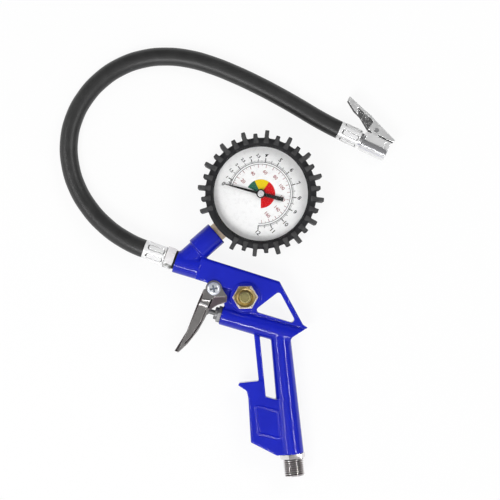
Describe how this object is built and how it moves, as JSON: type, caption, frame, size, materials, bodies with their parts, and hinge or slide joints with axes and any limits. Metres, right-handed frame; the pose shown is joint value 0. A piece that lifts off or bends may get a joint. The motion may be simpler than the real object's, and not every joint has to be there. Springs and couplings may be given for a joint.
{
  "type": "tyre inflator with gauge",
  "caption": "Hand-held tyre inflator: cast pistol body with squeeze lever and bleed valve, dial gauge in a lugged rubber boot, short rubber hose and clip-on chuck.",
  "frame": {"origin": "centre of the air inlet thread's outer end face", "axes": "-Y out of the inlet thread, +Y up the handle, +Z out of the gauge's dial, with the tool lying on its side; z = 0 is the casting's parting plane"},
  "size_m": [0.2112, 0.2773, 0.0301],
  "materials": {
    "blue_paint": "die-cast aluminium with a gloss blue coat",
    "chrome_plate": "bright chrome plate",
    "nickel_plate": "satin nickel plate on pressed steel",
    "zinc_plate": "bright zinc plate",
    "steel": "plain steel",
    "brass": "turned brass",
    "bronze": "phosphor bronze",
    "black_rubber": "matt moulded rubber",
    "hose_rubber": "smooth extruded rubber",
    "clear_lens": "clear glass",
    "dial_white": "matt white print",
    "pointer_black": "satin black"
  },
  "bodies": {
    "root": {"body_casting": "blue_paint", "inlet_nipple": "chrome_plate", "inlet_seal": "black_rubber", "inlet_strainer": "steel", "pivot_screw": "zinc_plate", "pivot_nut": "zinc_plate", "gland_nut": "zinc_plate", "stem_oring": "black_rubber", "valve_seat": "brass", "seat_seal": "black_rubber", "valve_spring": "steel", "bleed_body": "brass", "bleed_seal": "black_rubber", "bleed_spring": "steel", "gauge_socket": "brass", "gauge_case": "steel", "case_screws": "zinc_plate", "gauge_bezel": "steel", "gauge_lens": "clear_lens", "lens_gasket": "black_rubber", "dial_plate": "dial_white", "bourdon_tube": "bronze", "bourdon_tip": "brass", "movement_plates": "brass", "movement_pillars": "steel", "hairspring": "bronze", "gauge_boot": "black_rubber", "port_washer": "black_rubber", "hose_fitting": "chrome_plate", "hose_ferrule": "chrome_plate", "hose": "hose_rubber", "hose_ends": "hose_rubber", "chuck_ferrule": "chrome_plate", "chuck_fitting": "chrome_plate", "chuck_body": "chrome_plate", "chuck_seal": "black_rubber", "chuck_core_pin": "brass", "chuck_lever_pin": "steel", "chuck_spring": "steel"},
    "trigger": {"trigger": "nickel_plate"},
    "valve_stem": {"valve_stem": "steel", "valve_poppet": "brass", "poppet_seal": "black_rubber"},
    "bleed_button": {"bleed_button": "brass", "bleed_poppet": "black_rubber"},
    "sector": {"sector_gear": "brass"},
    "pointer": {"pointer": "pointer_black", "pinion_arbor": "brass"},
    "link": {"movement_link": "brass"},
    "chuck_lever": {"chuck_lever": "chrome_plate"}
  },
  "joints": [
    {"name": "trigger_pull", "type": "hinge", "parent": "root", "child": "trigger", "pos_m": [-0.03857, 0.12278, 0], "axis": [0, 0, 1], "range_deg": [0, 10], "stiffness_Nm_per_rad": 0.6, "deforming": ["valve_spring"]},
    {"name": "valve_stroke", "type": "slide", "parent": "root", "child": "valve_stem", "axis": [0.9239, -0.3827, 0], "range_m": [0, 0.0026]},
    {"name": "bleed_press", "type": "slide", "parent": "root", "child": "bleed_button", "axis": [0, 0, -1], "range_m": [0, 0.0015], "stiffness_N_per_m": 900, "deforming": ["bleed_spring"]},
    {"name": "sector_swing", "type": "hinge", "parent": "root", "child": "sector", "pos_m": [-0.01632, 0.17523, 0.0017], "axis": [0, 0, 1], "range_deg": [0, 32.46], "stiffness_Nm_per_rad": 0.02, "deforming": ["bourdon_tube", "bourdon_tip", "hairspring"]},
    {"name": "pointer_turn", "type": "hinge", "parent": "root", "child": "pointer", "pos_m": [-0.00332, 0.17884, 0.0105], "axis": [0, 0, 1], "range_deg": [-260, 0]},
    {"name": "link_swing", "type": "hinge", "parent": "sector", "child": "link", "pos_m": [-0.02138, 0.17113, 0.0029], "axis": [0, 0, 1], "range_deg": [-33, 0]},
    {"name": "chuck_lever_swing", "type": "hinge", "parent": "root", "child": "chuck_lever", "pos_m": [0.07347, 0.21148, -0.0057], "axis": [0, 0, 1], "range_deg": [0, 25], "stiffness_Nm_per_rad": 0.3, "deforming": ["chuck_spring"]}
  ],
  "couplings": [
    {"joint": "valve_stroke", "follows": "trigger_pull", "m_per_rad": 0.0146},
    {"joint": "pointer_turn", "follows": "sector_swing", "ratio": -8},
    {"joint": "link_swing", "follows": "sector_swing", "ratio": -1}
  ]
}
